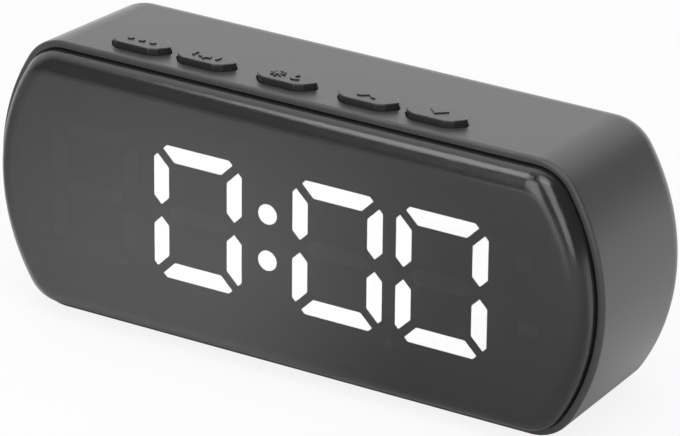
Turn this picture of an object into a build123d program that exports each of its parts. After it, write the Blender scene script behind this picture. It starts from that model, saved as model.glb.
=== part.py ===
# A digital led desk clock: a drafted case with a smoked front lens, lit bars behind it and
# five buttons on top. Millimetres. X runs right seen from the front, Y to the back, Z up.
# The origin is under the middle of the clock.
from build123d import *
import math
import os

# Case: the housing's outside, from the rim plane at the front to the flat of the back
case_width = 150.0
case_height = 62.6
case_depth = 38.3
end_bulge = 11.2
corner_radius = 10.7
top_fall = 2.35
side_draft = 1.1
back_edge_radius = 6.5
rim_edge_radius = 0.7
wall = 2.0
cut_overrun = 1.0

# Front opening: the rim band, the groove round the lens and the ledge that the lens sits on
rim_width = 1.5
groove_width = 0.3
rebate_depth = 1.2
ledge_thickness = 1.4
ledge_lip = 1.9

# Front lens: a dish with a well rounded edge
lens_stand = 5.1
lens_thickness = 2.0
lens_wall = 2.2
lens_edge_radius = 4.3
adhesive_thickness = 0.2

# Display: a light box with one well for each bar, and a diffuser in each well. Its middle lies
# display_drop under the middle of the case, and its top light_box_top_gap under the key board.
display_drop = 1.2
display_gap = 1.4
light_box_end_margin = 12.0
light_box_top_gap = 1.5
light_box_thickness = 8.0
light_box_corner = 3.0
diffuser_thickness = 1.5
diffuser_clearance = 0.06
digit_width_share = 0.1762
digit_margin = 5.6
bar_width = 3.8
corner_gap = 1.4
tip_cut = 0.92
middle_gap = 2.74
middle_bar_inset = 3.4
colon_diameter = 4.7
point_diameter = 2.8
upper_mark_diameter = 4.0
lower_mark_width = 5.0
lower_mark_height = 2.8

# Places of the light marks from the display's middle: x as shares of the light box's width,
# rises and drops as shares of a digit's height
first_digit_x_share = -0.39
hour_digit_x_share = -0.1813
tens_digit_x_share = 0.0952
units_digit_x_share = 0.2969
colon_x_share = -0.042
colon_rise_share = 0.1733
point_x_share = 0.1968
point_drop_share = 0.5521
upper_mark_x_share = 0.4488
upper_mark_rise_share = 0.2995
lower_mark_x_share = 0.4612
lower_mark_drop_share = 0.1733

# Main board behind the light box, its posts on the ledge and what it carries
board_thickness = 1.6
board_overhang = 0.3
board_inset = 3.4
post_radius = 2.4
post_end_margin = 8.4
post_margin = 16.3
led_width = 2.0
led_height = 1.2
led_thickness = 0.8
controller_size = 7.0
controller_thickness = 1.4
driver_length = 10.0
driver_width = 4.0
crystal_radius = 1.0
crystal_length = 6.0
capacitor_radius = 2.5
capacitor_length = 7.0
transistor_length = 2.9
transistor_width = 1.3
transistor_thickness = 1.1
transistor_count = 8
transistor_pitch = 6.0
resistor_length = 1.6
resistor_width = 0.8
resistor_thickness = 0.5
resistor_count = 12
resistor_pitch = 4.0
controller_x = 4.0
controller_drop = 6.0
driver_x = -16.0
driver_rise = 2.0
crystal_x = 16.0
capacitor_x = 24.0
capacitor_rise = 6.0
transistor_row_margin = 6.3
resistor_row_margin = 5.3

# Small screws: pan heads on plain shanks, each in a hole that clears it by screw_clearance
screw_clearance = 0.05
screw_pass_clearance = 0.25
board_screw_radius = 1.0
board_screw_head_radius = 1.9
board_screw_head_height = 1.3
board_screw_length = 4.6
display_screw_end_margin = 4.5
display_screw_margin = 3.2
display_screw_depth = 5.0

# Buttons on the top, square to its slope, and what is under them
button_row_x = -6.35
button_inner_pitch = 20.1
button_cap_gap = 1.55
button_setback = 7.5
button_half_length = 7.5
button_half_depth = 3.6
button_long_side_half = 3.9
button_facet_x = 5.5
button_facet_y = 2.65
button_vertex_radius = 1.2
button_top_radius = 0.25
button_stand = 1.5
button_clearance = 0.3
button_travel = 0.5
flange_reach = 0.5
flange_thickness = 1.0
flange_gap = 0.3
stem_radius = 1.9
stem_length = 0.5
symbol_height = 0.25
symbol_size = 1.4
symbol_reach = 2.8
symbol_line = 0.5
switch_size = 6.0
switch_height = 3.5
switch_corner = 0.5
plunger_radius = 1.7
plunger_stand = 1.0
plunger_depth = 1.2
plunger_clearance = 0.1
plunger_floor_gap = 0.4
key_board_thickness = 1.2
key_board_end_margin = 8.5
key_board_front_margin = 3.4
key_board_back_margin = 9.3
key_boss_radius = 2.2
key_boss_setback = 7.0
key_boss_reach = 30.0
key_screw_length = 5.0
ribbon_width = 9.0
ribbon_thickness = 0.35
ribbon_x = 5.0
ribbon_setback = 6.5
ribbon_drop = 9.0
ribbon_bend_radius = 2.2

# Rear cover: a plate let into the back, with the tub, buzzer ring and inlet shelf on its inside
cover_inset = 7.4
cover_gap = 0.3
cover_thickness = 2.2
cover_ledge_width = 2.0
cover_ledge_thickness = 2.0
cover_boss_radius = 3.0
cover_boss_end_margin = 9.0
cover_boss_margin = 4.5
cover_boss_length = 12.0
cover_rib_thickness = 1.2
cover_screw_radius = 1.2
cover_screw_head_radius = 2.3
cover_screw_head_height = 1.1
cover_screw_sink = 1.3
cover_screw_length = 8.0
cross_width = 0.6
cross_depth = 0.5

# Cells, tub and door
cell_diameter = 10.5
cell_length = 44.5
cell_nub_radius = 1.9
cell_nub_length = 0.9
cell_edge_radius = 0.4
cell_gap = 0.5
cell_side_clearance = 0.4
cell_floor_clearance = 0.3
spring_length = 4.9
spring_base_radius = 3.7
spring_tip_radius = 2.3
spring_wire = 0.6
plate_thickness = 0.4
plate_margin = 1.2
tub_wall = 1.5
door_ledge = 1.9
door_gap = 0.3
door_thickness = 1.8
door_seat_gap = 0.1
door_edge_radius = 0.3
recess_floor = 1.5
recess_rim = 1.0
hook_x = 15.0
hook_width = 7.0
hook_neck = 1.5
hook_setback = 0.7
hook_thickness = 1.0
hook_drop = 1.5
hook_side_clearance = 0.4
hook_swing_room = 0.6
notch_width = 12.0
notch_height = 3.6
notch_depth = 1.2
grip_count = 3
grip_width = 14.0
grip_height = 0.8
grip_pitch = 2.0
grip_depth = 0.35
grip_drop = 3.0

# Buzzer and its sound holes
buzzer_tub_gap = 6.8
buzzer_radius = 7.0
buzzer_thickness = 6.0
buzzer_gap = 0.1
buzzer_ring_wall = 1.4
buzzer_ring_gap = 0.2
buzzer_ring_height = 4.0
sound_hole_radius = 0.9
sound_hole_circle = 3.6
sound_hole_count = 6

# Power inlet: a usb type c socket on a small board
inlet_tub_gap = 8.4
inlet_height_above_base = 19.5
socket_width = 8.94
socket_height = 3.26
socket_depth = 7.3
socket_wall = 0.3
socket_recess = 0.6
socket_tongue_width = 6.2
socket_tongue_thickness = 0.7
socket_tongue_setback = 1.0
inlet_clearance = 0.25
inlet_board_width = 14.0
inlet_board_depth = 15.0
inlet_board_gap = 0.2
shelf_thickness = 2.0
shelf_shortfall = 1.0
inlet_screw_margin = 2.6
inlet_screw_length = 2.6

# Leads between the boards, the cells and the buzzer
lead_radius = 0.6
battery_lead_run = 8.2
lead_bend_share = 0.45

# Anti-slip pads let into the base
pad_stand = 0.5
pad_radius = 4.0
pad_recess = 0.6
pad_end_margin = 25.0
pad_front_setback = 8.0
pad_back_margin = 10.8
pad_gap = 0.1
pad_edge_radius = 0.2

# Places that follow from the sizes above
total_depth = lens_stand + case_depth
rim_y = -total_depth / 2 + lens_stand
back_y = rim_y + case_depth
base_z = pad_stand
lens_inset = rim_width + groove_width
ledge_inset = lens_inset + lens_wall + ledge_lip
ledge_back = rebate_depth + ledge_thickness
lens_back_depth = rebate_depth - adhesive_thickness
lens_pocket_depth = lens_thickness - lens_stand
display_depth = lens_pocket_depth + display_gap
light_box_back = display_depth + light_box_thickness
board_back = light_box_back + board_thickness
display_z = base_z + case_height / 2 - display_drop
top_slope = math.degrees(math.atan(top_fall / case_depth))
button_outer_reach = button_inner_pitch + 2 * button_half_length + button_cap_gap
button_places = {
    "mode": button_row_x - button_outer_reach,
    "alarm": button_row_x - button_inner_pitch,
    "snooze": button_row_x,
    "up": button_row_x + button_inner_pitch,
    "down": button_row_x + button_outer_reach,
}
cover_front = case_depth - cover_thickness
cover_ledge_front = cover_front - cover_ledge_thickness
cover_z = base_z + (case_height - top_fall) / 2
cell_pitch = cell_diameter + cell_gap
tub_half_height = 1.5 * cell_diameter + cell_gap + cell_side_clearance
tub_half_length = (cell_length + spring_length) / 2 + plate_thickness
door_inner = case_depth - door_thickness
recess_depth = door_thickness + door_seat_gap
cell_depth = door_inner - cell_floor_clearance - cell_diameter / 2
tub_floor_depth = cell_depth - cell_diameter / 2 - cell_floor_clearance
door_half_width = tub_half_length + door_ledge
door_half_height = tub_half_height + door_ledge
door_bottom_z = cover_z - door_half_height
tub_end = tub_half_length + tub_wall
buzzer_ring_radius = buzzer_radius + buzzer_ring_gap + buzzer_ring_wall
buzzer_x = -(tub_end + buzzer_tub_gap + buzzer_ring_radius)
inlet_x = tub_end + inlet_tub_gap + inlet_board_width / 2
inlet_z = base_z + inlet_height_above_base


def at_depth(depth):
    """Y of a place that lies depth behind the rim plane."""
    return rim_y + depth


def block(x0, x1, y0, y1, z0, z1):
    centre = Pos((x0 + x1) / 2, (y0 + y1) / 2, (z0 + z1) / 2)
    return centre * Box(x1 - x0, y1 - y0, z1 - z0)


def rod_along_y(x, z, y0, y1, radius):
    return Pos(x, (y0 + y1) / 2, z) * Rot(90, 0, 0) * Cylinder(radius, y1 - y0)


def rod_along_x(y, z, x0, x1, radius):
    return Pos((x0 + x1) / 2, y, z) * Rot(0, 90, 0) * Cylinder(radius, x1 - x0)


def rod_along_z(x, y, z0, z1, radius):
    return Pos(x, y, (z0 + z1) / 2) * Cylinder(radius, z1 - z0)


def case_outline(depth, inset=0):
    """The case's outline at a depth behind the rim: flat top and base, bulged ends, round corners.
    An inset outline keeps the same centres, so walls and grooves have an even width."""
    share = depth / case_depth
    half_width = case_width / 2 - side_draft * share
    half_height = (case_height - top_fall * share) / 2
    bulge = end_bulge * 2 * half_height / case_height
    end_radius = (half_height**2 + bulge**2) / (2 * bulge)
    end_x = half_width - end_radius
    corner_z = half_height - corner_radius
    corner_run = math.sqrt((end_radius - corner_radius) ** 2 - corner_z**2)
    corner_x = end_x + corner_run
    join = math.atan2(corner_z, corner_run)
    middle = (math.pi / 2 + join) / 2
    r_corner = corner_radius - inset
    r_end = end_radius - inset
    y = at_depth(depth)
    z_mid = base_z + half_height

    def on_corner(angle, sx, sz):
        x = corner_x + r_corner * math.cos(angle)
        z = corner_z + r_corner * math.sin(angle)
        return Vector(sx * x, y, z_mid + sz * z)

    tip = end_x + r_end
    flat_right = [on_corner(math.pi / 2, 1, 1), on_corner(math.pi / 2, 1, -1)]
    flat_left = [on_corner(math.pi / 2, -1, 1), on_corner(math.pi / 2, -1, -1)]
    edges = [Edge.make_line(flat_left[0], flat_right[0])]
    for sx, flats in ((1, flat_right), (-1, flat_left)):
        for sz, flat in ((1, flats[0]), (-1, flats[1])):
            corner_end = on_corner(join, sx, sz)
            edges.append(Edge.make_three_point_arc(flat, on_corner(middle, sx, sz), corner_end))
        end = Vector(sx * tip, y, z_mid)
        edges.append(Edge.make_three_point_arc(on_corner(join, sx, 1), end, on_corner(join, sx, -1)))
    edges.append(Edge.make_line(flat_right[1], flat_left[1]))
    return Wire.combine(edges)[0]


def case_slab(depth_of_outline, inset, front, back):
    """A straight plate with the case's inset outline, between two depths behind the rim."""
    face = Face(case_outline(depth_of_outline, inset))
    moved = face.moved(Location((0, front - depth_of_outline, 0)))
    return Solid.extrude(moved, Vector(0, back - front, 0))


def drafted(front, back, inset):
    return Solid.make_loft([case_outline(front, inset), case_outline(back, inset)], ruled=True)


def edges_at(solid, depth):
    """The solid's edges that lie flat at a depth behind the rim."""
    y, slack = at_depth(depth), cut_overrun / 100
    boxes = [(edge, edge.bounding_box()) for edge in solid.edges()]
    return [edge for edge, box in boxes if abs(box.min.Y - y) < slack and abs(box.max.Y - y) < slack]


def case_top(depth):
    """Z of the case's sloping top at a depth behind the rim."""
    return base_z + case_height - top_fall * depth / case_depth


def button_frame(x):
    """A frame on the top under a button, with its Z square to the sloping top."""
    return Location((x, at_depth(button_setback), case_top(button_setback)), (-top_slope, 0, 0))


def button_outline(grow=0):
    """The button's outline seen from above: long sides, cut corners and blunt points at the ends."""
    half = [
        (button_long_side_half, -button_half_depth),
        (button_facet_x, -button_facet_y),
        (button_half_length, 0),
        (button_facet_x, button_facet_y),
        (button_long_side_half, button_half_depth),
    ]
    points = half + [(-x, -y) for x, y in half]
    outline = Polygon(*points, align=None)
    outline = fillet(outline.vertices(), button_vertex_radius)
    if grow:
        outline = offset(outline, grow)
    return outline


# Heights under the top in a button's own frame
flange_top = -(wall + flange_gap)
flange_bottom = flange_top - flange_thickness
stem_bottom = flange_bottom - stem_length
switch_top = stem_bottom - plunger_stand
switch_bottom = switch_top - switch_height
key_board_bottom = switch_bottom - key_board_thickness

# The light box and the main board reach up to the key board's underside and as far down
light_box_width = case_width - 2 * light_box_end_margin
light_box_half_height = case_top(button_setback) + key_board_bottom - light_box_top_gap - display_z
board_half_height = light_box_half_height + board_overhang
digit_width = digit_width_share * light_box_width
digit_height = 2 * (light_box_half_height - digit_margin)


def key_boss_places():
    return [(button_row_x + k * key_boss_reach, key_boss_setback) for k in (-1, 0, 1)]


def four_places(x, middle_z, rise):
    return [(sx * x, middle_z + sz * rise) for sx in (-1, 1) for sz in (-1, 1)]


def cover_boss_places():
    x = case_width / 2 - side_draft - cover_inset - cover_boss_end_margin
    return four_places(x, cover_z, (case_height - top_fall) / 2 - cover_inset - cover_boss_margin)


def post_places():
    rise = case_height / 2 - post_margin
    return four_places(case_width / 2 - post_end_margin, base_z + case_height / 2, rise)


def pad_places():
    x = case_width / 2 - pad_end_margin
    depths = (pad_front_setback, case_depth - pad_back_margin)
    return [(sx * x, at_depth(depth)) for sx in (-1, 1) for depth in depths]


def make_housing():
    outer = drafted(0, case_depth, 0)
    outer = outer.fillet(back_edge_radius, edges_at(outer, case_depth))
    outer = outer.fillet(rim_edge_radius, edges_at(outer, 0))
    cavity = drafted(ledge_back, cover_ledge_front, wall)
    cavity = cavity.fillet(back_edge_radius - wall, edges_at(cavity, cover_ledge_front))
    shell = outer - cavity
    shell -= case_slab(0, rim_width, -cut_overrun, rebate_depth)
    shell -= case_slab(0, ledge_inset, -cut_overrun, ledge_back + cut_overrun)
    shell -= case_slab(case_depth, cover_inset, cover_front, case_depth + cut_overrun)
    opening_inset = cover_inset + cover_ledge_width
    shell -= case_slab(case_depth, opening_inset, cover_ledge_front - cut_overrun, case_depth)

    for x, z in post_places():
        front, back = at_depth(rebate_depth + ledge_thickness / 2), at_depth(light_box_back)
        shell += rod_along_y(x, z, front, back, post_radius)
        reach = board_screw_length - board_thickness + cut_overrun / 2
        shell -= rod_along_y(x, z, back - reach, back, board_screw_radius + screw_clearance)

    for x, z in cover_boss_places():
        side = 1 if z > cover_z else -1
        front, back = at_depth(cover_front - cover_boss_length), at_depth(cover_front)
        edge_z = case_top(cover_front) - wall / 2 if side > 0 else base_z + wall / 2
        half_rib = cover_rib_thickness / 2
        ledge = at_depth(cover_ledge_front)
        rib = block(x - half_rib, x + half_rib, front, ledge, min(z, edge_z), max(z, edge_z))
        shell += rib + rod_along_y(x, z, front, back, cover_boss_radius)
        reach = cover_screw_length - cover_thickness + cover_screw_sink + cut_overrun / 2
        shell -= rod_along_y(x, z, back - reach, back, cover_screw_radius + screw_clearance)

    for x, setback in key_boss_places():
        boss = rod_along_z(x, setback, switch_bottom, -wall / 2, key_boss_radius)
        pilot = rod_along_z(x, setback, switch_bottom, flange_top, board_screw_radius + screw_clearance)
        frame = button_frame(0)
        shell += frame * boss
        shell -= frame * pilot

    for x in button_places.values():
        hole = extrude(button_outline(button_clearance), wall + 2 * cut_overrun)
        shell -= button_frame(x) * Pos(0, 0, -(wall + cut_overrun)) * hole

    for x, y in pad_places():
        shell -= rod_along_z(x, y, base_z - cut_overrun, base_z + pad_recess, pad_radius + pad_gap)
    return shell


def make_front_lens():
    """A dish: straight outside wall, well rounded edge, flat face, and a pocket behind."""
    body = case_slab(0, lens_inset, -lens_stand, lens_back_depth)
    body = body.fillet(lens_edge_radius, edges_at(body, -lens_stand))
    pocket = case_slab(0, lens_inset + lens_wall, lens_pocket_depth, lens_back_depth + cut_overrun)
    return body - pocket


def make_lens_adhesive():
    ring = case_slab(0, lens_inset, lens_back_depth, rebate_depth)
    front, back = lens_back_depth - cut_overrun, rebate_depth + cut_overrun
    return ring - case_slab(0, lens_inset + lens_wall, front, back)


def digit_bars(x):
    """The seven bars of one digit as outlines: level top, middle and base bars, and four uprights."""
    w, h = digit_width / 2, digit_height / 2
    b, half_bar = bar_width, bar_width / 2
    upright = [
        (-w, h - corner_gap - 2 * tip_cut),
        (-w + tip_cut, h - corner_gap - tip_cut),
        (-w + b, h - corner_gap - b),
        (-w + b, middle_gap / 2 + half_bar),
        (-w + half_bar, middle_gap / 2),
        (-w, middle_gap / 2 + half_bar),
    ]
    level = [
        (-w + corner_gap + 2 * tip_cut, h),
        (w - corner_gap - 2 * tip_cut, h),
        (w - corner_gap - tip_cut, h - tip_cut),
        (w - corner_gap - b, h - b),
        (-w + corner_gap + b, h - b),
        (-w + corner_gap + tip_cut, h - tip_cut),
    ]
    tip = w - middle_bar_inset
    middle = [
        (-tip, 0),
        (-tip + half_bar, half_bar),
        (tip - half_bar, half_bar),
        (tip, 0),
        (tip - half_bar, -half_bar),
        (-tip + half_bar, -half_bar),
    ]

    def placed(points, sx, sz):
        return [(x + sx * px, display_z + sz * pz) for px, pz in points]

    return {
        "top": placed(level, 1, 1),
        "base": placed(level, 1, -1),
        "upper_left": placed(upright, 1, 1),
        "upper_right": placed(upright, -1, 1),
        "lower_left": placed(upright, 1, -1),
        "lower_right": placed(upright, -1, -1),
        "middle": placed(middle, 1, 1),
    }


def flat_outline(shape):
    """One light mark's face in X and Z: bars are polygons, dots are circles."""
    if shape["kind"] == "bar":
        return Polygon(*[(x, z) for x, z in shape["points"]], align=None)
    return Pos(shape["x"], shape["z"]) * Circle(shape["radius"])


def extruded_mark(shape, shrink, front, back):
    """A light mark as a solid between two depths, with its sides drawn in by shrink."""
    face = flat_outline(shape)
    if shrink:
        face = offset(face, -shrink, kind=Kind.INTERSECTION)
    standing = Plane(origin=(0, at_depth(back), 0), x_dir=(1, 0, 0), z_dir=(0, -1, 0))
    return standing * extrude(face, back - front, dir=(0, 0, 1))


def bar(points):
    xs = [p[0] for p in points]
    zs = [p[1] for p in points]
    middle = ((min(xs) + max(xs)) / 2, (min(zs) + max(zs)) / 2)
    return {"kind": "bar", "points": points, "led": middle}


def dot(x, z, diameter):
    return {"kind": "dot", "x": x, "z": z, "radius": diameter / 2, "led": (x, z)}


def light_marks():
    """Every light mark of the display, by the node that its diffuser belongs to."""
    marks = {}
    outer_names = ["top", "base", "upper_left", "upper_right", "lower_left", "lower_right"]
    lit = {
        "hour_bars": hour_digit_x_share * light_box_width,
        "tens_bars": tens_digit_x_share * light_box_width,
        "units_bars": units_digit_x_share * light_box_width,
    }
    for node, x in lit.items():
        marks[node] = [bar(digit_bars(x)[n]) for n in outer_names]
    x, rise = colon_x_share * light_box_width, colon_rise_share * digit_height
    marks["colon_dots"] = [dot(x, display_z + s * rise, colon_diameter) for s in (1, -1)]
    x = first_digit_x_share * light_box_width
    marks["unlit_first_digit"] = [bar(points) for points in digit_bars(x).values()]
    marks["unlit_middle_bars"] = [bar(digit_bars(x)["middle"]) for x in lit.values()]
    x, z = point_x_share * light_box_width, display_z - point_drop_share * digit_height
    point = dot(x, z, point_diameter)
    x, z = upper_mark_x_share * light_box_width, display_z + upper_mark_rise_share * digit_height
    upper = dot(x, z, upper_mark_diameter)
    x, z = lower_mark_x_share * light_box_width, display_z - lower_mark_drop_share * digit_height
    w, h = lower_mark_width / 2, lower_mark_height / 2
    lower = bar([(x - w, z - h), (x + w, z - h), (x + w, z + h), (x - w, z + h)])
    marks["unlit_marks"] = [point, upper, lower]
    return marks


def display_screw_places():
    rise = light_box_half_height - display_screw_margin
    return four_places(light_box_width / 2 - display_screw_end_margin, display_z, rise)


def make_light_box():
    half_w, half_h = light_box_width / 2, light_box_half_height
    front, back = at_depth(display_depth), at_depth(light_box_back)
    body = block(-half_w, half_w, front, back, display_z - half_h, display_z + half_h)
    body = fillet(body.edges().filter_by(Axis.Y), light_box_corner)
    front, back = display_depth - cut_overrun, light_box_back + cut_overrun
    wells = [extruded_mark(m, 0, front, back) for group in light_marks().values() for m in group]
    body -= wells
    hole_front, hole_back = at_depth(light_box_back - display_screw_depth), at_depth(light_box_back)
    for x, z in display_screw_places():
        body -= rod_along_y(x, z, hole_front, hole_back, board_screw_radius + screw_clearance)
    return body


def make_diffusers():
    nodes = {}
    back = display_depth + diffuser_thickness
    for node, marks in light_marks().items():
        nodes[node] = [extruded_mark(m, diffuser_clearance, display_depth, back) for m in marks]
    return nodes


def make_leds():
    leds = []
    for marks in light_marks().values():
        for mark in marks:
            x, z = mark["led"]
            tall = mark["kind"] == "bar" and spans_up(mark["points"])
            half_x, half_z = (led_height / 2, led_width / 2) if tall else (led_width / 2, led_height / 2)
            y0, y1 = at_depth(light_box_back - led_thickness), at_depth(light_box_back)
            leds.append(block(x - half_x, x + half_x, y0, y1, z - half_z, z + half_z))
    return leds


def spans_up(points):
    xs = [p[0] for p in points]
    zs = [p[1] for p in points]
    return max(zs) - min(zs) > max(xs) - min(xs)


def make_main_board():
    front, back = at_depth(light_box_back), at_depth(board_back)
    low, high = display_z - board_half_height, display_z + board_half_height
    keep = block(-case_width, case_width, front, back, low, high)
    board = keep & case_slab(0, board_inset, light_box_back, board_back)
    for x, z in post_places() + display_screw_places():
        board -= rod_along_y(x, z, front, back, board_screw_radius + screw_pass_clearance)
    return board


def on_board(x, rise, length, height, thickness):
    """A component on the main board's back, centred at x and rise above the display's middle."""
    y0, z = at_depth(board_back), display_z + rise
    return block(x - length / 2, x + length / 2, y0, y0 + thickness, z - height / 2, z + height / 2)


def row(count, pitch):
    return [(i - (count - 1) / 2) * pitch for i in range(count)]


def make_board_components():
    y0 = at_depth(board_back)
    crystal_y, crystal_z = y0 + crystal_radius, display_z - controller_drop
    x0, x1 = crystal_x - crystal_length / 2, crystal_x + crystal_length / 2
    cap_z, cap_y = display_z + capacitor_rise, y0 + capacitor_length
    chip, thickness = controller_size, controller_thickness
    upper_rise = board_half_height - transistor_row_margin
    lower_rise = resistor_row_margin - board_half_height
    return {
        "controller_chip": [on_board(controller_x, -controller_drop, chip, chip, thickness)],
        "driver_chip": [on_board(driver_x, driver_rise, driver_length, driver_width, thickness)],
        "clock_crystal": [rod_along_x(crystal_y, crystal_z, x0, x1, crystal_radius)],
        "filter_capacitor": [rod_along_y(capacitor_x, cap_z, y0, cap_y, capacitor_radius)],
        "board_transistors": [
            on_board(x, upper_rise, transistor_length, transistor_width, transistor_thickness)
            for x in row(transistor_count, transistor_pitch)
        ],
        "board_resistors": [
            on_board(x, lower_rise, resistor_length, resistor_width, resistor_thickness)
            for x in row(resistor_count, resistor_pitch)
        ],
    }


def screw(shank_radius, length, head_radius, head_height):
    """A pan head screw on the Z axis: the head stands above zero, the shank hangs below."""
    head = Pos(0, 0, head_height / 2) * Cylinder(head_radius, head_height)
    head = fillet(head.edges().sort_by(Axis.Z)[-1], head_height / 3)
    bar_x = Pos(0, 0, head_height) * Box(2 * head_radius * cross_width, cross_width, 2 * cross_depth)
    shank = Pos(0, 0, -length / 2) * Cylinder(shank_radius, length)
    return head - bar_x - Rot(0, 0, 90) * bar_x + shank


def board_screw(length):
    return screw(board_screw_radius, length, board_screw_head_radius, board_screw_head_height)


def driven_from_back(part, x, z, seat_y):
    """A screw whose head is at the back and whose shank points to the front."""
    return Location((x, seat_y, z), (-90, 0, 0)) * part


def make_board_screws():
    seat = at_depth(board_back)
    long, short = board_screw(display_screw_depth), board_screw(board_screw_length)
    return {
        "main_board_screws": [driven_from_back(short, x, z, seat) for x, z in post_places()],
        "display_screws": [driven_from_back(long, x, z, seat) for x, z in display_screw_places()],
    }


def make_symbol(name):
    """Raised generic marks: dots, a bell with sound arcs, a lamp beside a moon, or a chevron."""
    s, t, reach = symbol_size, symbol_line, symbol_reach
    if name == "mode":
        return Sketch() + [Pos(k * reach, 0) * Circle(s * 0.55) for k in (-1, 0, 1)]
    if name == "alarm":
        bell = Circle(s * 0.8) & Pos(0, s) * Rectangle(s * 2, s * 2)
        foot = [(-s * 0.8, 0), (s * 0.8, 0), (s * 1.1, -s * 0.7), (-s * 1.1, -s * 0.7)]
        arc = Circle(reach + t) - Circle(reach) & Rectangle(reach * 4, s * 1.4)
        return bell + Polygon(*foot, align=None) + Pos(0, -s) * Circle(t * 0.8) + arc
    if name == "snooze":
        ray = Rectangle(t * 1.4, t * 0.8)
        lamp = Circle(s * 0.5) + [Rot(0, 0, a) * Pos(s, 0) * ray for a in range(0, 360, 45)]
        moon = Circle(s) - Pos(s * 0.6, s * 0.3) * Circle(s * 0.85)
        return Pos(-reach * 0.8, 0) * lamp + Pos(reach * 0.8, 0) * moon
    tip = s * 0.8 if name == "up" else -s * 0.8
    wing = reach * 0.8
    outer = [(-wing, -tip), (0, tip), (wing, -tip)]
    inner = [(wing - t * 2, -tip), (0, tip * 0.1), (t * 2 - wing, -tip)]
    return Polygon(*outer, *inner, align=None)


def make_buttons():
    """Each button: a cap through the top, a flange that keeps it in, and a stem on its switch."""
    nodes = {}
    for name, x in button_places.items():
        cap = Pos(0, 0, flange_bottom) * extrude(button_outline(), button_stand - flange_bottom)
        cap = fillet(cap.faces().sort_by(Axis.Z)[-1].edges(), button_top_radius)
        flange = extrude(button_outline(button_clearance + flange_reach), flange_thickness)
        flange = Pos(0, 0, flange_bottom) * flange
        stem = rod_along_z(0, 0, stem_bottom, flange_bottom, stem_radius)
        mark = extrude(make_symbol(name), 2 * symbol_height, dir=(0, 0, 1))
        mark = Pos(0, 0, button_stand - symbol_height) * mark
        nodes[name + "_button"] = [button_frame(x) * (cap + flange + stem + mark)]
        plunger = rod_along_z(0, 0, switch_top - plunger_depth, stem_bottom, plunger_radius)
        nodes[name + "_plunger"] = [button_frame(x) * plunger]
        half = switch_size / 2
        body = block(-half, half, -half, half, switch_bottom, switch_top)
        body = fillet(body.edges().filter_by(Axis.Z), switch_corner)
        floor = switch_top - plunger_depth - button_travel - plunger_floor_gap
        body -= rod_along_z(0, 0, floor, switch_top, plunger_radius + plunger_clearance)
        nodes[name + "_switch"] = [button_frame(x) * body]
    return nodes


def make_key_board():
    frame = button_frame(0)
    reach = button_outer_reach + key_board_end_margin
    x0, x1 = button_row_x - reach, button_row_x + reach
    y0, y1 = -key_board_front_margin, key_board_back_margin
    board = block(x0, x1, y0, y1, key_board_bottom, switch_bottom)
    hole = board_screw_radius + screw_pass_clearance
    for x, setback in key_boss_places():
        board -= rod_along_z(x, setback, key_board_bottom, switch_bottom, hole)
    screws = [
        Location((x, setback, key_board_bottom), (180, 0, 0)) * board_screw(key_screw_length)
        for x, setback in key_boss_places()
    ]
    return {"key_board": [frame * board], "key_board_screws": [frame * s for s in screws]}


def make_key_ribbon():
    """A flat ribbon: down from the key board, round a bend and square onto the main board's back."""
    y_run = at_depth(button_setback) + ribbon_setback
    fall = math.tan(math.radians(top_slope))
    z_top = case_top(button_setback) + key_board_bottom - (ribbon_setback + 2 * ribbon_thickness) * fall
    z_low = z_top - ribbon_drop
    r = ribbon_bend_radius
    start = (y_run, z_top)
    bend_in, bend_out = (y_run, z_low + r), (y_run - r, z_low)
    half_turn = math.sqrt(0.5)
    bend_mid = (y_run - r + r * half_turn, z_low + r - r * half_turn)
    path_plane = Plane(origin=(ribbon_x - ribbon_width / 2, 0, 0), x_dir=(0, 1, 0), z_dir=(1, 0, 0))
    with BuildSketch(path_plane) as band:
        with BuildLine() as centre_line:
            Line(start, bend_in)
            ThreePointArc(bend_in, bend_mid, bend_out)
            Line(bend_out, (at_depth(board_back), z_low))
            offset(amount=ribbon_thickness, side=Side.RIGHT)
        make_face()
    return extrude(band.sketch, ribbon_width)


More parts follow.
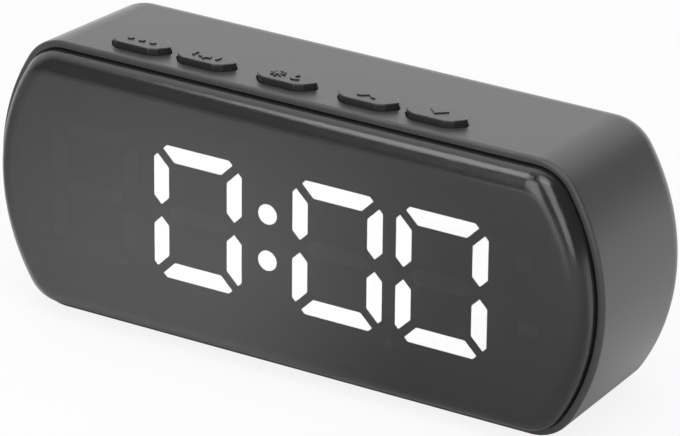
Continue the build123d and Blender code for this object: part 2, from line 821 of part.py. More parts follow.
def make_rear_cover():
    """A plate with the door's recess, a tub for the cells, a buzzer ring and the inlet board's shelf."""
    cover = case_slab(case_depth, cover_inset + cover_gap, cover_front, case_depth)
    y_front, y_back = at_depth(cover_front), back_y
    recess_w, recess_h = door_half_width + door_gap, door_half_height + door_gap
    floor_y = y_back - recess_depth
    rim_w, rim_h = recess_w + recess_rim, recess_h + recess_rim
    frame_y = floor_y - recess_floor
    cover += block(-rim_w, rim_w, frame_y, y_front, cover_z - rim_h, cover_z + rim_h)
    out_h = tub_half_height + tub_wall
    tub_y = at_depth(tub_floor_depth)
    cover += block(-tub_end, tub_end, tub_y - tub_wall, floor_y, cover_z - out_h, cover_z + out_h)
    ring_y = y_front - buzzer_ring_height
    cover += rod_along_y(buzzer_x, cover_z, ring_y, y_front, buzzer_ring_radius)
    shelf_z = inlet_z - socket_height / 2 - key_board_thickness
    shelf_low = shelf_z - shelf_thickness
    shelf_y = y_front - inlet_board_depth + shelf_shortfall
    half_board = inlet_board_width / 2
    cover += block(inlet_x - half_board, inlet_x + half_board, shelf_y, y_front, shelf_low, shelf_z)

    over = y_back + cut_overrun
    cover -= block(-recess_w, recess_w, floor_y, over, cover_z - recess_h, cover_z + recess_h)
    tub_low, tub_high = cover_z - tub_half_height, cover_z + tub_half_height
    cover -= block(-tub_half_length, tub_half_length, tub_y, y_back, tub_low, tub_high)
    cover -= rod_along_y(buzzer_x, cover_z, ring_y, y_front, buzzer_radius + buzzer_ring_gap)

    slot_y = frame_y - hook_swing_room - hook_thickness / 2
    slot_half = hook_width / 2 + hook_side_clearance
    slot_low = door_bottom_z - hook_drop - hook_side_clearance
    for x in (-hook_x, hook_x):
        cover -= block(x - slot_half, x + slot_half, slot_y, floor_y, cover_z - recess_h, tub_low)
        cover -= block(x - slot_half, x + slot_half, slot_y, y_front, slot_low, tub_low)

    notch_low, notch_high = cover_z + recess_h - cut_overrun, cover_z + recess_h + notch_height
    half_notch = notch_width / 2
    notch = block(-half_notch, half_notch, y_back - notch_depth, over, notch_low, notch_high)
    cover -= fillet(notch.edges().filter_by(Axis.Y).group_by(Axis.Z)[-1], notch_height / 2)
    for x, z in cover_boss_places():
        cover -= rod_along_y(x, z, y_front, y_back, cover_screw_radius + screw_pass_clearance)
        sink_y = y_back - cover_screw_sink
        cover -= rod_along_y(x, z, sink_y, y_back, cover_screw_head_radius + screw_pass_clearance)
    sound_holes = [(0, 0)]
    for i in range(sound_hole_count):
        angle = math.tau * i / sound_hole_count
        sound_holes.append((sound_hole_circle * math.cos(angle), sound_hole_circle * math.sin(angle)))
    for dx, dz in sound_holes:
        cover -= rod_along_y(buzzer_x + dx, cover_z + dz, y_front, y_back, sound_hole_radius)
    mouth = extrude(socket_outline(inlet_clearance), cover_thickness + 2 * cut_overrun)
    cover -= standing_at_inlet(cover_front - cut_overrun) * mouth
    for x, y in inlet_screw_places():
        cover -= rod_along_z(x, y, shelf_low, shelf_z, board_screw_radius + screw_clearance)
    return cover


def socket_outline(grow=0):
    """The socket's rounded mouth; its ends fall just short of half circles."""
    width, height = socket_width + 2 * grow, socket_height + 2 * grow
    return RectangleRounded(width, height, height / 2 - diffuser_clearance)


def standing_at_inlet(depth):
    """A frame at the inlet's middle whose Z points to the back."""
    return Plane(origin=(inlet_x, at_depth(depth), inlet_z), x_dir=(-1, 0, 0), z_dir=(0, 1, 0))


def inlet_screw_places():
    y = at_depth(cover_front) - inlet_board_depth + shelf_shortfall + inlet_screw_margin
    reach = inlet_board_width / 2 - inlet_screw_margin
    return [(inlet_x - reach, y), (inlet_x + reach, y)]


def make_power_inlet():
    mouth = case_depth - socket_recess
    frame = standing_at_inlet(mouth - socket_depth)
    shell = frame * extrude(socket_outline(), socket_depth)
    bore = frame * Pos(0, 0, socket_wall) * extrude(socket_outline(-socket_wall), socket_depth)
    tongue_length = socket_depth - socket_tongue_setback
    tongue = Box(socket_tongue_width, socket_tongue_thickness, tongue_length)
    socket = shell - bore + frame * Pos(0, 0, tongue_length / 2) * tongue
    high = inlet_z - socket_height / 2
    low = high - key_board_thickness
    y_back = at_depth(cover_front) - inlet_board_gap
    x0, x1 = inlet_x - inlet_board_width / 2, inlet_x + inlet_board_width / 2
    board = block(x0, x1, y_back - inlet_board_depth, y_back, low, high)
    screws = []
    for x, y in inlet_screw_places():
        board -= rod_along_z(x, y, low, high, board_screw_radius + screw_pass_clearance)
        screws.append(Pos(x, y, high) * board_screw(inlet_screw_length))
    return {"power_socket": [socket], "power_board": [board], "power_board_screws": screws}


def make_cover_screws():
    head_radius, head_height = cover_screw_head_radius, cover_screw_head_height
    part = screw(cover_screw_radius, cover_screw_length, head_radius, head_height)
    seat = back_y - cover_screw_sink
    return [driven_from_back(part, x, z, seat) for x, z in cover_boss_places()]


def make_battery_door():
    """A flush lid: two hooks go in under the recess's lower edge, grip grooves lie by its upper one."""
    y_in, y_out = at_depth(door_inner), back_y
    half_width, top_z = door_half_width, cover_z + door_half_height
    door = block(-half_width, half_width, y_in, y_out, door_bottom_z, top_z)
    door = fillet(door.faces().sort_by(Axis.Y)[-1].edges(), door_edge_radius)
    foot_y = y_in - hook_setback
    half = hook_width / 2
    for x in (-hook_x, hook_x):
        neck = block(x - half, x + half, foot_y, y_in, door_bottom_z, door_bottom_z + hook_neck)
        foot = block(x - half, x + half, foot_y - hook_thickness, foot_y,
                     door_bottom_z - hook_drop, door_bottom_z + hook_neck)
        door += neck + foot
    for i in range(grip_count):
        z = top_z - grip_drop - i * grip_pitch
        door -= block(-grip_width / 2, grip_width / 2, y_out - grip_depth, y_out + cut_overrun,
                      z - grip_height / 2, z + grip_height / 2)
    return door


def make_cells():
    """Three cells side by side, turned about from one to the next, each from a spring to a plate."""
    nodes = {}
    springs, plates = [], []
    y = at_depth(cell_depth)
    end = tub_half_length - plate_thickness
    can_length = cell_length - cell_nub_length
    can = Rot(0, 90, 0) * Cylinder(cell_diameter / 2, can_length)
    can = fillet(can.edges().filter_by(GeomType.CIRCLE), cell_edge_radius)
    can = Pos(-end + spring_length + can_length / 2, 0, 0) * can
    cell = can + rod_along_x(0, 0, end - cell_nub_length - cell_edge_radius, end, cell_nub_radius)
    base, tip, wire = spring_base_radius, spring_tip_radius, spring_wire
    spring = Cone(base, tip, spring_length) - Cone(base - wire, tip - wire, spring_length)
    spring = Pos(-end + spring_length / 2, 0, 0) * Rot(0, 90, 0) * spring
    for i, turn in enumerate((0, 180, 0)):
        place = Location((0, y, cover_z + (1 - i) * cell_pitch), (0, 0, turn))
        nodes[f"aaa_cell_{i + 1}"] = [place * cell]
        springs.append(place * spring)
    half = cell_diameter / 2 - plate_margin
    for side, first, last in ((-1, 0, 0), (-1, 1, 2), (1, 0, 1), (1, 2, 2)):
        z_high = cover_z + (1 - first) * cell_pitch + half
        z_low = cover_z + (1 - last) * cell_pitch - half
        x0, x1 = sorted((side * end, side * tub_half_length))
        plates.append(block(x0, x1, y - half, y + half, z_low, z_high))
    nodes["battery_springs"] = springs
    nodes["contact_plates"] = plates
    return nodes


def make_buzzer():
    back = at_depth(cover_front) - buzzer_gap
    return rod_along_y(buzzer_x, cover_z, back - buzzer_thickness, back, buzzer_radius)


def lead(points):
    """A round lead on straight runs joined by the largest arcs that the runs allow."""
    corners = [Vector(*p) for p in points]
    radii = []
    for a, b, c in zip(corners, corners[1:], corners[2:]):
        turn = math.radians((b - a).get_angle(c - b))
        radii.append(lead_bend_share * min((b - a).length, (c - b).length) / math.tan(turn / 2))
    print("lead bend radii", [round(r, 1) for r in radii])
    path = FilletPolyline(*corners, radius=radii)
    section = Plane(origin=path @ 0, z_dir=path % 0) * Circle(lead_radius)
    return sweep(section, path=path)


def make_leads():
    """Leads from the tub's ends, the buzzer and the inlet board, each square onto the main board."""
    board_y = at_depth(board_back)
    tub_y = at_depth(tub_floor_depth + 3 * lead_radius)
    battery = []
    for side in (-1, 1):
        x = side * (tub_end + battery_lead_run)
        z = cover_z - side * cell_pitch
        battery.append(lead([(side * tub_end, tub_y, z), (x, tub_y, z), (x, board_y, z)]))

    buzzer_y = at_depth(cover_front) - buzzer_gap - buzzer_thickness
    spread = buzzer_radius / 3
    middle, half = (buzzer_y + board_y) / 2, (buzzer_y - board_y) / 4
    low_z = cover_z - 2 * spread
    buzzer = []
    for x in (buzzer_x - spread, buzzer_x + spread):
        buzzer.append(lead([(x, buzzer_y, cover_z), (x, middle + half, cover_z),
                            (x, middle - half, low_z), (x, board_y, low_z)]))

    inlet_y = at_depth(cover_front) - inlet_board_gap - inlet_board_depth
    spread = inlet_board_width / 6
    middle, half = (inlet_y + board_y) / 2, (inlet_y - board_y) / 4
    z = inlet_z - socket_height / 2 - key_board_thickness / 2
    power = []
    for side in (-1, 1):
        x, x_end = inlet_x + side * spread, inlet_x + 1.5 * side * spread
        power.append(lead([(x, inlet_y, z), (x, middle + half, z),
                           (x_end, middle - half, z + spread), (x_end, board_y, z + spread)]))
    return {"battery_leads": battery, "buzzer_leads": buzzer, "power_leads": power}


def make_base_pads():
    pads = []
    for x, y in pad_places():
        pad = rod_along_z(x, y, 0, pad_stand + pad_recess, pad_radius)
        pads.append(fillet(pad.edges().sort_by(Axis.Z)[0], pad_edge_radius))
    return pads


nodes = {
    "housing": [make_housing()],
    "front_lens": [make_front_lens()],
    "lens_adhesive": [make_lens_adhesive()],
    "light_box": [make_light_box()],
    **make_diffusers(),
    "segment_leds": make_leds(),
    "main_board": [make_main_board()],
    **make_board_components(),
    **make_board_screws(),
    **make_buttons(),
    **make_key_board(),
    "key_ribbon": [make_key_ribbon()],
    "rear_cover": [make_rear_cover()],
    "cover_screws": make_cover_screws(),
    "battery_door": [make_battery_door()],
    **make_cells(),
    "buzzer": [make_buzzer()],
    **make_power_inlet(),
    **make_leads(),
    "base_pads": make_base_pads(),
}

os.makedirs("parts", exist_ok=True)
for name, solids in nodes.items():
    whole = [s for shape in solids for s in shape.solids()]
    shape = whole[0] if len(whole) == 1 else Compound(whole)
    export_step(shape, f"parts/{name}.step")
print("button axis", button_frame(0).z_axis)
print("door hinge at", 0, back_y, door_bottom_z)
print("inlet at", inlet_x, at_depth(case_depth - socket_recess), inlet_z)
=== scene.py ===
import math

import bmesh
import bpy
from mathutils import Matrix, Vector


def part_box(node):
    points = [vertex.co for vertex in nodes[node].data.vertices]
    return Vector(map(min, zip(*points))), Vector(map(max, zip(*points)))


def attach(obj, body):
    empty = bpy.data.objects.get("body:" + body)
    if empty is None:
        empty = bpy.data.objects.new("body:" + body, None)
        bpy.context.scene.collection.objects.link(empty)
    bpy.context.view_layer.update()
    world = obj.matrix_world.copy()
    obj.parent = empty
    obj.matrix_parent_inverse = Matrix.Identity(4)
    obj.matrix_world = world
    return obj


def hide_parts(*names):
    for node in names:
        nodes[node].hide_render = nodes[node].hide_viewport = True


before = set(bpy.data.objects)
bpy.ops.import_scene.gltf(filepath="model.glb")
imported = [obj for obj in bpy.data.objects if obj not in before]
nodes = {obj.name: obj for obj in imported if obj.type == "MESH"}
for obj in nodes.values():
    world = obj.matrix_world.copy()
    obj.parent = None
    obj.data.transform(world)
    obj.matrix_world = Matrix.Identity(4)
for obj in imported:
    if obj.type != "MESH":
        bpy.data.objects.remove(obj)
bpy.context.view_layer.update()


# Camera: a long lens to the right of the clock and a little above it, as the photograph was taken.
# Its place, tilt and lens come from the outline of the case. Everything is sharp.
photo_width_px = 680
focal_length_px = 5100.387
sensor_width_mm = 36.0
distance_to_aim = 1.067791
aim = Vector((0.0116245, -0.0166, 0.0385781))
azimuth, elevation, roll = (math.radians(angle) for angle in (31.4488, 23.8052, 0.5689))
level_right = Vector((math.cos(azimuth), math.sin(azimuth), 0))
backward = Vector((
    math.sin(azimuth) * math.cos(elevation),
    -math.cos(azimuth) * math.cos(elevation),
    math.sin(elevation),
))
level_up = backward.cross(level_right)
right = math.cos(roll) * level_right + math.sin(roll) * level_up
up = math.cos(roll) * level_up - math.sin(roll) * level_right
camera_data = bpy.data.cameras.new("camera")
camera_data.sensor_fit = "HORIZONTAL"
camera_data.sensor_width = sensor_width_mm
camera_data.lens = sensor_width_mm * focal_length_px / photo_width_px
camera_data.dof.use_dof = False
camera = bpy.data.objects.new("camera", camera_data)
facing = Matrix((right, up, backward)).transposed().to_4x4()
camera.matrix_world = Matrix.Translation(aim + distance_to_aim * backward) @ facing
bpy.context.scene.collection.objects.link(camera)
bpy.context.scene.camera = camera


# Housing: one black ABS moulding, open at the front and the back. The mould is spark eroded, so
# the skin has a fine pebbled grain and its gloss wanders a little from place to place.
class Value:
    """What comes out of a shader node. Python's operators add the Math nodes."""

    def __init__(self, shading, socket):
        self.shading, self.socket = shading, socket

    def maths(self, operation, first, second):
        return self.shading.node("ShaderNodeMath", {"operation": operation}, {0: first, 1: second})

    def __add__(self, other):
        return self.maths("ADD", self, other)

    def __sub__(self, other):
        return self.maths("SUBTRACT", self, other)

    def __rsub__(self, other):
        return self.maths("SUBTRACT", other, self)

    def __mul__(self, other):
        return self.maths("MULTIPLY", self, other)

    def __gt__(self, other):
        return self.maths("GREATER_THAN", self, other)

    def __abs__(self):
        return self.maths("ABSOLUTE", self, 0.0)

    __radd__ = __add__
    __rmul__ = __mul__


class Shading:
    """A tree of shader nodes, of a material or of the surround."""

    def __init__(self, tree, output_kind):
        self.tree = tree
        self.tree.nodes.clear()
        self.output = self.tree.nodes.new(output_kind)

    def node(self, kind, settings=None, inputs=None, output=0):
        """Adds a node: its settings first, then the values or links of its sockets."""
        made = self.tree.nodes.new(kind)
        for name, value in (settings or {}).items():
            if name == "stops":
                for element, (position, colour) in zip(made.color_ramp.elements, value):
                    element.position, element.color = position, colour
            else:
                setattr(made, name, value)
        for name, value in (inputs or {}).items():
            if isinstance(value, Value):
                self.tree.links.new(value.socket, made.inputs[name])
            else:
                made.inputs[name].default_value = value
        return Value(self, made.outputs[output])

    def show(self, shader):
        self.tree.links.new(shader.socket, self.output.inputs["Surface"])


class Finish(Shading):
    """A material, with its patterns on the coordinates of the piece itself."""

    def __init__(self, name):
        self.material = bpy.data.materials.new(name)
        self.material.use_nodes = True
        super().__init__(self.material.node_tree, "ShaderNodeOutputMaterial")
        self.place = self.node("ShaderNodeTexCoord", output="Object")

    def noise(self, scale, detail=2.0, stretch=None):
        place = self.place
        if stretch:
            place = self.node("ShaderNodeMapping", inputs={"Vector": place, "Scale": stretch})
        inputs = {"Vector": place, "Scale": scale, "Detail": detail}
        return self.node("ShaderNodeTexNoise", inputs=inputs, output="Fac")

    def axis(self, name):
        return self.node("ShaderNodeSeparateXYZ", inputs={"Vector": self.place}, output=name)

    def colours(self, amount, low, high):
        inputs = {0: amount, 6: low, 7: high}
        return self.node("ShaderNodeMix", {"data_type": "RGBA"}, inputs, 2)

    def bump(self, height, strength, depth):
        inputs = {"Height": height, "Strength": strength, "Distance": depth}
        return self.node("ShaderNodeBump", inputs=inputs, output="Normal")

    def surface(self, **sockets):
        inputs = {name.replace("_", " "): value for name, value in sockets.items()}
        self.shader = self.node("ShaderNodeBsdfPrincipled", inputs=inputs)
        self.show(self.shader)
        return self.material


def grey(level):
    return (level, level, level, 1.0)


def shade_of(colour, factor):
    return tuple(min(level * factor, 1.0) for level in colour[:3]) + (1.0,)


def dress(material, *names):
    for name in names:
        for place in nodes[name].material_slots:
            place.material = material


def moulded_plastic(name, colour, roughness, grains_per_metre, grain_depth, specular=0.5):
    """Plastic from a spark-eroded mould: pebbled, and slightly uneven in shade and gloss."""
    shade_spread, gloss_spread, clouds_per_metre = 0.12, 0.14, 35.0
    finish = Finish(name)
    grain = finish.noise(grains_per_metre, 3.0)
    cloud = finish.noise(clouds_per_metre)
    darker, lighter = shade_of(colour, 1 - shade_spread), shade_of(colour, 1 + shade_spread)
    return finish.surface(
        Base_Color=finish.colours(grain * 0.6 + cloud * 0.4, darker, lighter),
        Roughness=(cloud + grain - 1.0) * (roughness * gloss_spread) + roughness,
        Specular_IOR_Level=specular,
        Normal=finish.bump(grain, 0.55, grain_depth),
    )


case_plastic = moulded_plastic(
    "case_plastic", grey(0.042), roughness=0.36,
    grains_per_metre=2600.0, grain_depth=0.00006, specular=0.52,
)
dress(case_plastic, "housing")


# Front lens: a smoked acrylic dish with a pillow edge, glued into the housing. It's polished, but
# its skin carries the faint orange peel of the mould, which breaks up the highlights on its edge.
smoked = Finish("smoked_lens")
peel = smoked.noise(2600.0)
haze = smoked.noise(25.0)
dress(smoked.surface(
    Base_Color=smoked.colours(haze, grey(0.014), grey(0.021)),
    Roughness=0.17 + haze * 0.06,
    Specular_IOR_Level=0.95,
    Alpha=0.72,
    Normal=smoked.bump(peel, 0.6, 0.00003),
), "front_lens")


# Lens adhesive: a die-cut ring of black foam tape between the lens and the housing's ledge.
# It is soft, dull and full of tiny closed cells.
foam = Finish("adhesive_foam")
cells = foam.noise(3000.0, 4.0)
dress(foam.surface(
    Base_Color=foam.colours(cells, grey(0.008), grey(0.03)),
    Roughness=0.95,
    Normal=foam.bump(cells, 0.8, 0.0001),
), "lens_adhesive")


# Light box: a matte black moulding with a well for every bar, so that no light leaks from one
# to the next. It is screwed to the main board from behind.
dress(moulded_plastic(
    "light_box_plastic", grey(0.012), roughness=0.75,
    grains_per_metre=1800.0, grain_depth=0.00005, specular=0.3,
), "light_box")


# Lit bars and dots: frosted diffusers pressed into the wells, shining white where the LEDs behind
# them are on. The light is nearly even, a little weaker where a bar lies off its LED.
lit = Finish("lit_diffuser")
frost = lit.noise(900.0)
spill = lit.noise(60.0, 1.0)
dress(lit.surface(
    Base_Color=grey(0.85),
    Roughness=0.6,
    Emission_Color=lit.colours(frost * 0.2 + spill * 0.8, grey(0.84), grey(1.0)),
    Emission_Strength=12.6,
    Normal=lit.bump(frost, 0.2, 0.00003),
), "hour_bars", "tens_bars", "units_bars", "colon_dots")


# Unlit bars and marks: the same frosted diffusers with their LEDs off. They show only faintly
# through the smoked lens, by the light that falls in from outside.
unlit = Finish("unlit_diffuser")
frost = unlit.noise(900.0)
dress(unlit.surface(
    Base_Color=unlit.colours(frost, grey(0.3), grey(0.42)),
    Roughness=0.6,
    Normal=unlit.bump(frost, 0.2, 0.00003),
), "unlit_first_digit", "unlit_middle_bars", "unlit_marks")


# Main board: fibreglass under green solder mask, with the copper's lines just showing through it.
# The boards of the keys and of the inlet are made the same way.
board = Finish("circuit_board")
upright = (math.radians(90), 0, 0)
board_face = board.node("ShaderNodeMapping", inputs={"Vector": board.place, "Rotation": upright})
lines = board.node(
    "ShaderNodeTexBrick",
    {"offset": 0.37, "squash": 0.6, "squash_frequency": 3},
    {
        "Vector": board_face, "Scale": 90.0, "Mortar Size": 0.02,
        "Color1": grey(0.0), "Color2": grey(0.0), "Mortar": grey(1.0),
    },
    "Color",
)
weave = board.noise(1200.0)
dress(board.surface(
    Base_Color=board.colours(lines, (0.012, 0.085, 0.035, 1.0), (0.03, 0.16, 0.06, 1.0)),
    Roughness=0.32 + weave * 0.1,
    Normal=board.bump(lines, 0.5, 0.00005),
), "main_board", "key_board", "power_board")


# Board components: moulded epoxy chips, LEDs with a milky window, a plated crystal can, a sleeved
# capacitor and tiny resistors, all soldered to the main board. The inlet's shell is plated too.
def metal(name, colour, roughness, stretch):
    """Plated or drawn metal: fine marks along its working direction and a few dull specks."""
    unevenness = 0.1
    finish = Finish(name)
    marks = finish.noise(900.0, 3.0, stretch)
    dull = finish.noise(120.0, 3.0)
    return finish.surface(
        Base_Color=finish.colours(marks, shade_of(colour, 0.8), shade_of(colour, 1.0)),
        Metallic=1.0,
        Roughness=roughness + marks * unevenness + dull * unevenness,
        Normal=finish.bump(marks, 0.25, 0.00002),
    )


dress(moulded_plastic(
    "chip_epoxy", grey(0.02), roughness=0.6, grains_per_metre=3500.0, grain_depth=0.00004,
), "controller_chip", "driver_chip", "board_transistors", "board_resistors")
dress(moulded_plastic(
    "led_window", (0.7, 0.66, 0.45), roughness=0.35, grains_per_metre=2000.0, grain_depth=0.00001,
), "segment_leds")
dress(moulded_plastic(
    "capacitor_sleeve", (0.02, 0.03, 0.09), roughness=0.3,
    grains_per_metre=800.0, grain_depth=0.00001,
), "filter_capacitor")
dress(metal(
    "plated_can", (0.62, 0.61, 0.58), roughness=0.2, stretch=(0.2, 1.0, 1.0),
), "clock_crystal", "power_socket")


# Screws: small zinc-plated steel screws with cross recesses hold the light box and the boards.
# Four larger ones, blackened to match the case, hold the rear cover.
dress(metal(
    "screw_steel", (0.5, 0.5, 0.52), roughness=0.26, stretch=(1.0, 0.3, 1.0),
), "main_board_screws", "display_screws", "key_board_screws", "power_board_screws")
dress(metal(
    "blackened_steel", (0.09, 0.09, 0.095), roughness=0.32, stretch=(1.0, 0.3, 1.0),
), "cover_screws")


# Buttons: five satin black caps in a row along the top, each with a plain raised mark. Thumbs have
# polished their tops a little, so they are smoother than the case round them.
keys = ("mode", "alarm", "snooze", "up", "down")
dress(moulded_plastic(
    "button_plastic", grey(0.017), roughness=0.28, grains_per_metre=2200.0, grain_depth=0.000004,
), *(key + "_button" for key in keys))


# Switches: a black case soldered to the key board under each button, and a pale plunger
# that the button's stem presses.
dress(moulded_plastic(
    "switch_case", grey(0.03), roughness=0.55, grains_per_metre=2400.0, grain_depth=0.00003,
), *(key + "_switch" for key in keys))
dress(moulded_plastic(
    "switch_plunger", (0.6, 0.58, 0.52), roughness=0.4,
    grains_per_metre=2400.0, grain_depth=0.00002,
), *(key + "_plunger" for key in keys))


# Key ribbon and leads: a flat cream flexible cable with printed conductors, and thin PVC wires.
# They're soldered at both ends inside the case.
ribbon = Finish("flat_ribbon")
stripes = ribbon.node(
    "ShaderNodeTexWave",
    {"wave_type": "BANDS", "bands_direction": "X"},
    {"Vector": ribbon.place, "Scale": 160.0},
    "Fac",
)
dress(ribbon.surface(
    Base_Color=ribbon.colours(stripes > 0.55, (0.55, 0.5, 0.38, 1.0), (0.3, 0.24, 0.16, 1.0)),
    Roughness=0.45,
    Normal=ribbon.bump(stripes, 0.4, 0.00005),
), "key_ribbon")
dress(moulded_plastic(
    "red_sleeve", (0.35, 0.02, 0.015), roughness=0.42, grains_per_metre=600.0, grain_depth=0.00001,
), "battery_leads", "power_leads")
dress(moulded_plastic(
    "black_sleeve", grey(0.02), roughness=0.42, grains_per_metre=600.0, grain_depth=0.00001,
), "buzzer_leads")


# Rear cover and battery door: the same black plastic as the housing. The cover carries the tub for
# the cells, the buzzer's ring and the inlet; the door hooks into its lower edge.
dress(case_plastic, "rear_cover", "battery_door")


# Cells: steel cans in a plain shrunk sleeve, bare at both ends, with a nub on the plus end.
# They lie side by side, turned about from one to the next.
sleeve_half_length = 0.0214
sleeve = Finish("cell_sleeve")
bare = abs(sleeve.axis("X")) > sleeve_half_length
scuffs = sleeve.noise(260.0, 4.0)
dress(sleeve.surface(
    Base_Color=sleeve.colours(bare, (0.03, 0.06, 0.1, 1.0), (0.6, 0.6, 0.58, 1.0)),
    Metallic=bare,
    Roughness=0.28 + scuffs * 0.18,
    Normal=sleeve.bump(scuffs, 0.15, 0.00003),
), "aaa_cell_1", "aaa_cell_2", "aaa_cell_3")


# Battery springs: nickel-plated wire wound to a cone, wide where it's riveted to the tub's end
# and narrow where it meets the cell. The contact plates have the same plating.
nickel = metal("nickel_plate", (0.66, 0.64, 0.58), roughness=0.18, stretch=(0.4, 1.0, 1.0))
dress(nickel, "contact_plates")
wire_radius = 0.0003
wire_sides = 10
coil_base_radius = 0.0034
coil_tip_radius = 0.002
coil_length = 0.0049
coil_turns = 4.5
steps_per_turn = 28
cell_pitch = 0.011
spring_low, spring_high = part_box("battery_springs")
spring_y = (spring_low.y + spring_high.y) / 2
tub_middle_z = (spring_low.z + spring_high.z) / 2
steps = round(coil_turns * steps_per_turn)
rise = coil_length - 2 * wire_radius
coils = bmesh.new()
for index, side in enumerate((-1, 1, -1)):
    wire = bmesh.new()
    ring = bmesh.ops.create_circle(wire, segments=wire_sides, radius=wire_radius)["verts"]
    start = Matrix.Translation((0, 0, coil_base_radius)) @ Matrix.Rotation(math.radians(90), 4, "X")
    bmesh.ops.transform(wire, matrix=start, verts=ring)
    bmesh.ops.spin(
        wire, geom=wire.verts[:] + wire.edges[:], cent=(0, 0, 0), axis=(1, 0, 0),
        dvec=(rise / steps, 0, 0), angle=coil_turns * math.tau, steps=steps, use_merge=False,
    )
    bmesh.ops.holes_fill(wire, edges=[e for e in wire.edges if e.is_boundary], sides=0)
    for vert in wire.verts:
        share = min(max(vert.co.x / rise, 0.0), 1.0)
        narrower = share * (coil_base_radius - coil_tip_radius)
        radius = math.hypot(vert.co.y, vert.co.z)
        moved = (radius - narrower) / radius
        vert.co.y, vert.co.z = vert.co.y * moved, vert.co.z * moved
    base_x = (spring_low.x if side < 0 else spring_high.x) - side * wire_radius
    place = Matrix.Translation((base_x, spring_y, tub_middle_z + (1 - index) * cell_pitch))
    flip = Matrix.Rotation(math.pi if side > 0 else 0, 4, "Z")
    bmesh.ops.transform(wire, matrix=place @ flip, verts=wire.verts)
    one_coil = bpy.data.meshes.new("one_coil")
    wire.to_mesh(one_coil)
    wire.free()
    coils.from_mesh(one_coil)
    bpy.data.meshes.remove(one_coil)
bmesh.ops.recalc_face_normals(coils, faces=coils.faces)
spring_mesh = bpy.data.meshes.new("spring_coils")
coils.to_mesh(spring_mesh)
coils.free()
spring_mesh.shade_smooth()
spring_mesh.materials.append(nickel)
spring_coils = bpy.data.objects.new("spring_coils", spring_mesh)
bpy.context.scene.collection.objects.link(spring_coils)
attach(spring_coils, "clock")
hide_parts("battery_springs")


# Buzzer: a black plastic can pressed into the ring behind the sound holes of the rear cover.
# Its skin is duller than the case's.
dress(moulded_plastic(
    "buzzer_can", grey(0.018), roughness=0.5, grains_per_metre=1500.0, grain_depth=0.00003,
), "buzzer")


# Base pads: four soft rubber discs let into the base, which keep the clock from sliding.
# They are dull and slightly dusty.
pad = Finish("pad_rubber")
dust = pad.noise(700.0, 4.0)
dress(pad.surface(
    Base_Color=pad.colours(dust, grey(0.012), grey(0.035)),
    Roughness=0.85,
    Normal=pad.bump(dust, 0.4, 0.00006),
), "base_pads")


# Studio: a broad white floor. It is plain paper to the lamps, and shows mostly as white to the
# camera, with the shadow of the clock left on it. In the gloss of the clock it shows a table of
# painted light, lightest left of the middle and behind, with painted shadow under the clock and
# painted shade towards the room in front.
floor_radius = 6.0
floor_shape = bmesh.new()
bmesh.ops.create_circle(floor_shape, cap_ends=True, segments=96, radius=floor_radius)
floor_mesh = bpy.data.meshes.new("floor")
floor_shape.to_mesh(floor_mesh)
floor_shape.free()
floor = bpy.data.objects.new("floor", floor_mesh)
bpy.context.scene.collection.objects.link(floor)
paper = Finish("white_paper")
floor_mesh.materials.append(paper.surface(
    Base_Color=grey(0.8), Roughness=0.9, Specular_IOR_Level=0.1,
))


def glow(strength):
    return paper.node("ShaderNodeEmission", inputs={"Color": grey(1.0), "Strength": strength})


def blend(factor, first, second):
    return paper.node("ShaderNodeMixShader", inputs={0: factor, 1: first, 2: second})


def fade(value, begin, end):
    """Goes smoothly from 0 at the first value to 1 at the second."""
    inputs = {"Value": value, "From Min": begin, "From Max": end}
    return paper.node("ShaderNodeMapRange", {"interpolation_type": "SMOOTHSTEP"}, inputs)


# Painted light for the gloss of the clock: glow levels that stand in for a lit table, painted shade
# towards the room in front, a lamp's painted reflection, bright paper behind and painted shadow
# under the clock.
painted_dim_gloss, painted_bright_gloss, painted_room_shade, painted_lamp_glow = glow(0.42), glow(1.45), glow(0.3), glow(2.4)
painted_light_near_behind, painted_light_far_behind, shade, white = glow(1.15), glow(2.2), glow(0.35), glow(1.0)
# Metres from the clock's middle: along to its right, across to its back.
along, across = paper.axis("X"), paper.axis("Y")
# Painted contact shade: close in front of the clock the lit band pulls back and the table's lift
# fades out.
near = fade(across, -0.09, -0.03)
band = along - across * 0.61 + near * 0.012
light_band = fade(band, -0.12, -0.015) * fade(band, 0.06, 0.0) * fade(across, -0.24, -0.04)
# Painted light: a lit band across the table, dimmer elsewhere, and painted shade towards the room
# in front.
painted_gloss_table = blend(light_band * 0.85 + (1 - near) * 0.15, painted_dim_gloss, painted_bright_gloss)
painted_gloss_table = blend(fade(across, -0.2, -0.8), painted_gloss_table, painted_room_shade)
# Painted reflection of a lamp: a bright patch on the table in front of the clock.
painted_lamp_reflection = fade(abs(along - across * 0.14 - 0.065), 0.13, 0.05) * fade(across, -0.12, -0.3)
painted_gloss_table = blend(painted_lamp_reflection, painted_gloss_table, painted_lamp_glow)
# Painted light behind the clock: brighter still further back, unless far to the right.
behind = blend(fade(across, 0.05, 0.4) * fade(along, 0.35, 0.0), painted_light_near_behind, painted_light_far_behind)
painted_gloss_table = blend(fade(across, -0.03, 0.03), painted_gloss_table, behind)
# Painted shadow on the table under the clock, as seen in its gloss.
painted_foot_shadow = fade(abs(along), 0.072, 0.058) * fade(across, -0.024, -0.018) * fade(across, 0.032, 0.02)
painted_gloss_table = blend(painted_foot_shadow, painted_gloss_table, shade)
seen_directly = paper.node("ShaderNodeLightPath", output="Is Camera Ray")
seen_in_gloss = paper.node("ShaderNodeLightPath", output="Is Glossy Ray")
seen_through = paper.node("ShaderNodeLightPath", output="Is Transmission Ray")
seen = seen_directly.maths("MAXIMUM", seen_directly, seen_in_gloss)
seen = seen.maths("MAXIMUM", seen, seen_through)
shadow_share = 0.14
shown = blend(seen_in_gloss, white, painted_gloss_table)
paper.show(blend(seen * (1 - shadow_share), paper.shader, shown))


# Lamps: a small soft box close above the left half, one overhead, and two tall ones in front on
# each side of the camera. The light band along the lens's upper edge and the streaks at its corner
# are theirs.
lens_middle = (0.03, -0.02, 0.05)


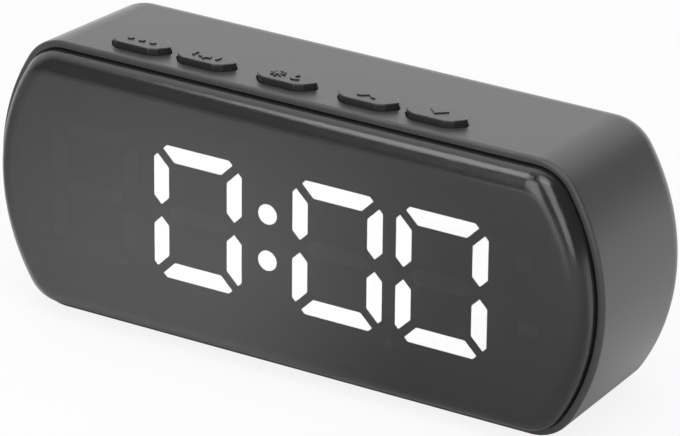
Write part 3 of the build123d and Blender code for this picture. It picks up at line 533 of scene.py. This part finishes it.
def soft_box(name, azimuth, elevation, distance, size, radiance, lean=0, aim=lens_middle):
    """A lamp that faces a place. Its azimuth goes from the back, clockwise from above."""
    turn, rise, lean = (math.radians(angle) for angle in (azimuth, elevation, lean))
    toward = Vector((
        math.sin(turn) * math.cos(rise),
        math.cos(turn) * math.cos(rise),
        math.sin(rise),
    ))
    width, height = size
    data = bpy.data.lights.new(name, "AREA")
    data.shape = "RECTANGLE"
    data.size, data.size_y = width, height
    data.energy = radiance * math.pi * width * height
    lamp = bpy.data.objects.new(name, data)
    facing = (-toward).to_track_quat("-Z", "Y").to_matrix().to_4x4() @ Matrix.Rotation(lean, 4, "Z")
    lamp.matrix_world = Matrix.Translation(Vector(aim) + distance * toward) @ facing
    bpy.context.scene.collection.objects.link(lamp)


soft_box("near_left", -113, 58, distance=0.34, size=(0.14, 0.12), radiance=4.0,
         aim=(0.062, -0.02, 0.05))
soft_box("overhead", 85, 78, distance=1.2, size=(0.6, 0.6), radiance=2.4)
soft_box("right_front", 133, 38, distance=1.6, size=(0.85, 2.7), radiance=2.6)
soft_box("front", -169, 27, distance=1.6, size=(0.72, 1.8), radiance=2.8, lean=9)


# Surround: bright behind and to the left, dim at the right and dark in front, where the room
# lies. It is far off, so that only the direction counts.
world = bpy.data.worlds.new("studio")
bpy.context.scene.world = world
world.use_nodes = True
surround = Shading(world.node_tree, "ShaderNodeOutputWorld")
direction = surround.node("ShaderNodeTexCoord", output="Generated")
brightest_side = (-0.9, 1, 0.3)
dot_product = {"operation": "DOT_PRODUCT"}
sides = {0: direction, 1: brightest_side}
towards_light = surround.node("ShaderNodeVectorMath", dot_product, sides, "Value")
span = {"Value": towards_light, "From Min": 0.45, "From Max": 0.95}
daylight = surround.node("ShaderNodeMapRange", inputs=span)
dusk_to_day = {"stops": ((0.0, grey(0.1)), (1.0, grey(1.0)))}
wall = surround.node("ShaderNodeValToRGB", dusk_to_day, {"Fac": daylight})
surround.show(surround.node("ShaderNodeBackground", inputs={"Color": wall, "Strength": 1.25}))
bpy.context.scene.view_settings.view_transform = "Standard"
